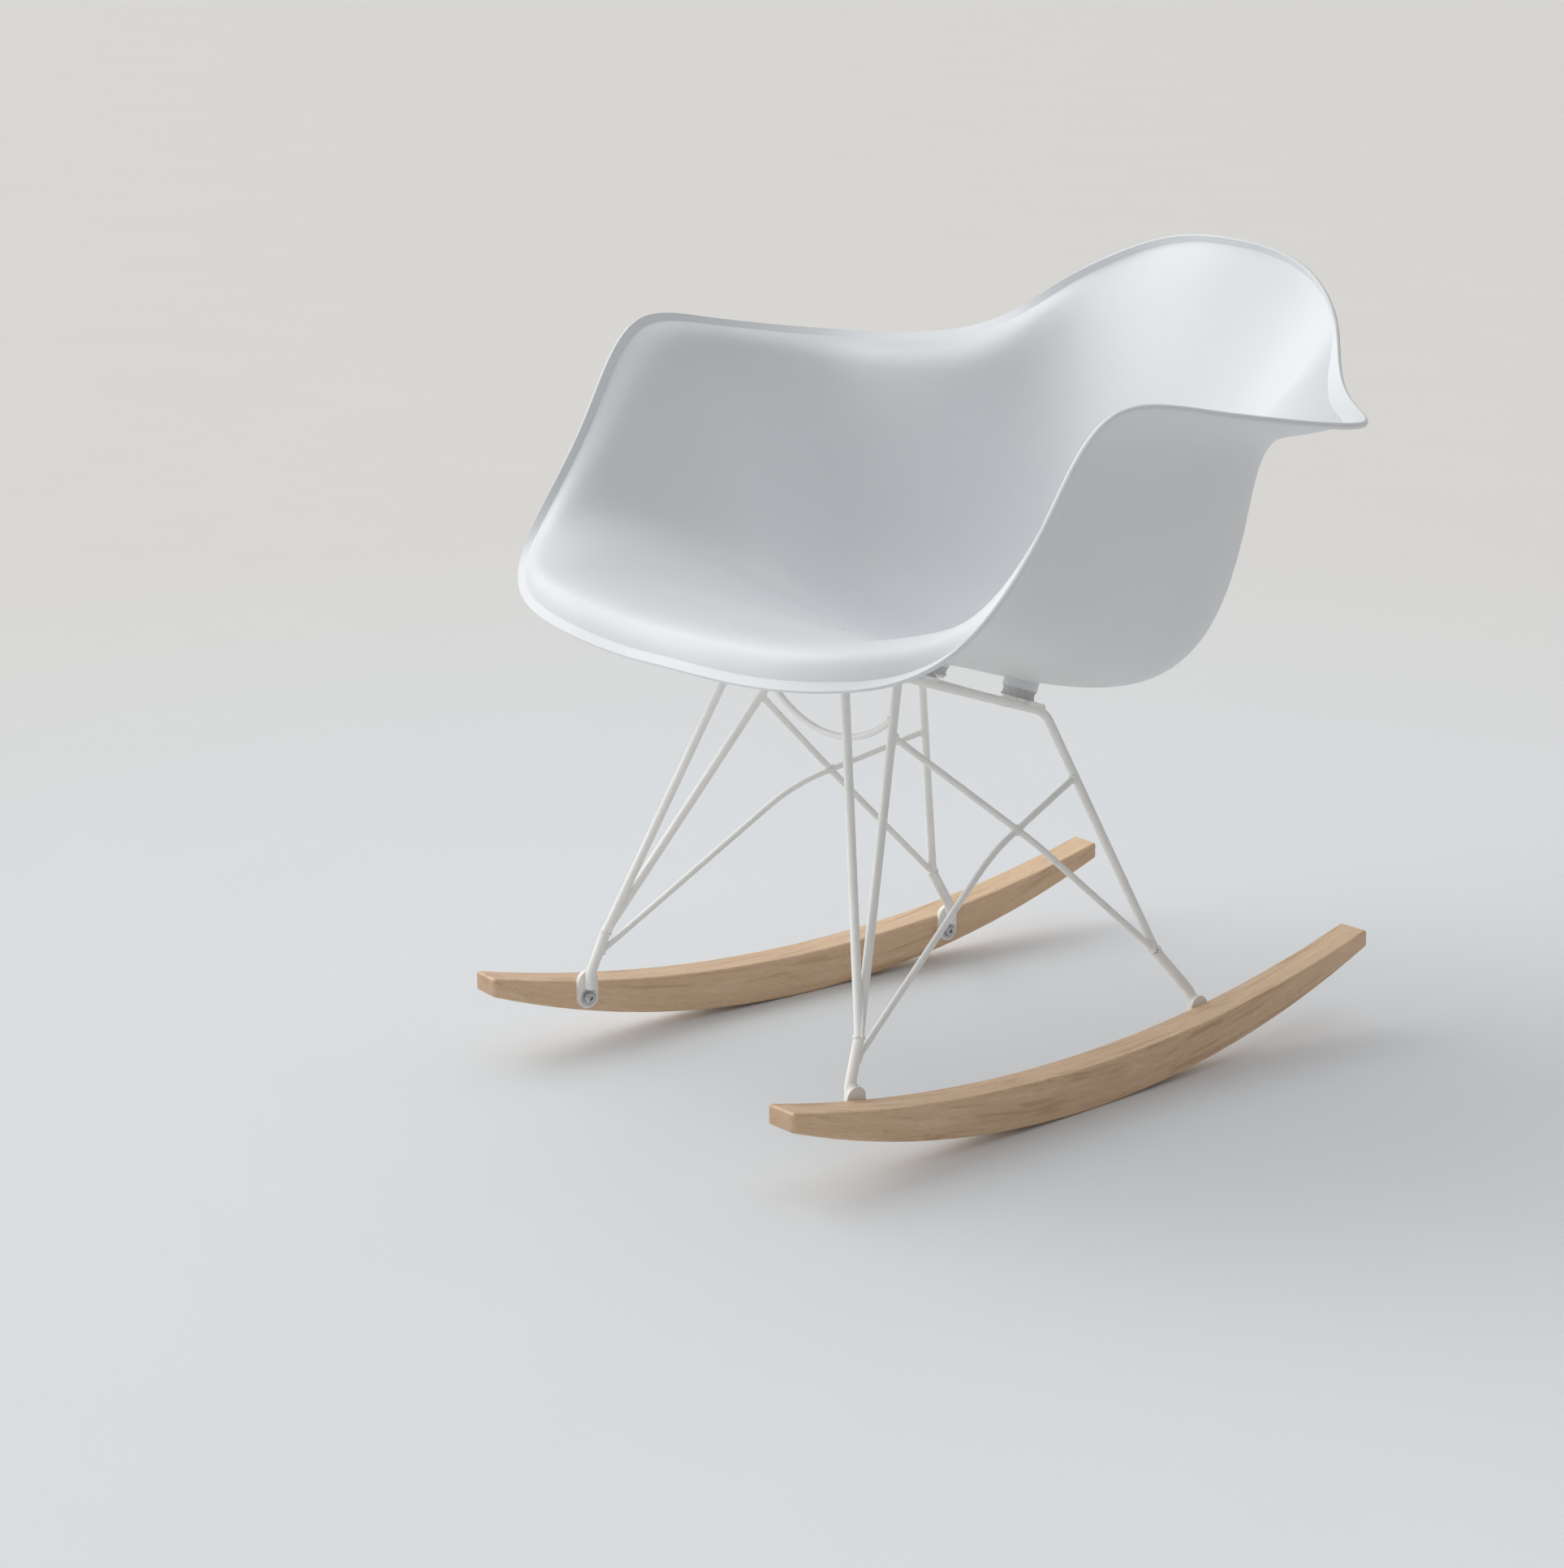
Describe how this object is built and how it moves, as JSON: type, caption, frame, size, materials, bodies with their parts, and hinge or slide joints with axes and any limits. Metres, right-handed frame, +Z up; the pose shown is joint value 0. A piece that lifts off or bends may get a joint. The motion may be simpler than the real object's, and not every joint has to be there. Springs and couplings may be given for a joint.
{
  "type": "rocking chair",
  "caption": "Rocking armchair: a moulded bucket shell on a welded wire frame, carried on curved wooden rockers.",
  "frame": {"origin": "on the floor, midway between the two lines where the rockers touch it", "axes": "+Z up, the chair faces -Y, +X to the sitter's left"},
  "size_m": [0.6542, 0.6735, 0.6743],
  "materials": {
    "moulded_shell": "satin moulded plastic, cool white",
    "coated_wire": "warm white powder coat",
    "mount_rubber": "matt moulded rubber",
    "zinc_steel": "zinc plated",
    "insert_brass": "turned brass",
    "rocker_wood": "clear lacquered beech"
  },
  "bodies": {
    "root": {"cross_rod": "coated_wire", "foot_plate_front_left": "coated_wire", "foot_plate_front_right": "coated_wire", "foot_plate_rear_left": "coated_wire", "foot_plate_rear_right": "coated_wire", "front_arc": "coated_wire", "front_post_left": "coated_wire", "front_post_right": "coated_wire", "front_strut_left": "coated_wire", "front_strut_right": "coated_wire", "long_brace_left": "coated_wire", "long_brace_right": "coated_wire", "mount_plate_front_left": "coated_wire", "mount_plate_front_right": "coated_wire", "mount_plate_rear_left": "coated_wire", "mount_plate_rear_right": "coated_wire", "mount_screws": "zinc_steel", "mount_sleeves": "zinc_steel", "mount_washers": "zinc_steel", "rear_post_left": "coated_wire", "rear_post_right": "coated_wire", "rocker_inserts": "insert_brass", "rocker_left": "rocker_wood", "rocker_right": "rocker_wood", "rocker_screws": "zinc_steel", "rocker_washers": "zinc_steel", "seat_inserts": "insert_brass", "seat_shell": "moulded_shell", "shock_mount_front_left": "mount_rubber", "shock_mount_front_right": "mount_rubber", "shock_mount_rear_left": "mount_rubber", "shock_mount_rear_right": "mount_rubber", "short_brace_left": "coated_wire", "short_brace_right": "coated_wire", "side_wire_left": "coated_wire", "side_wire_right": "coated_wire"}
  },
  "joints": []
}
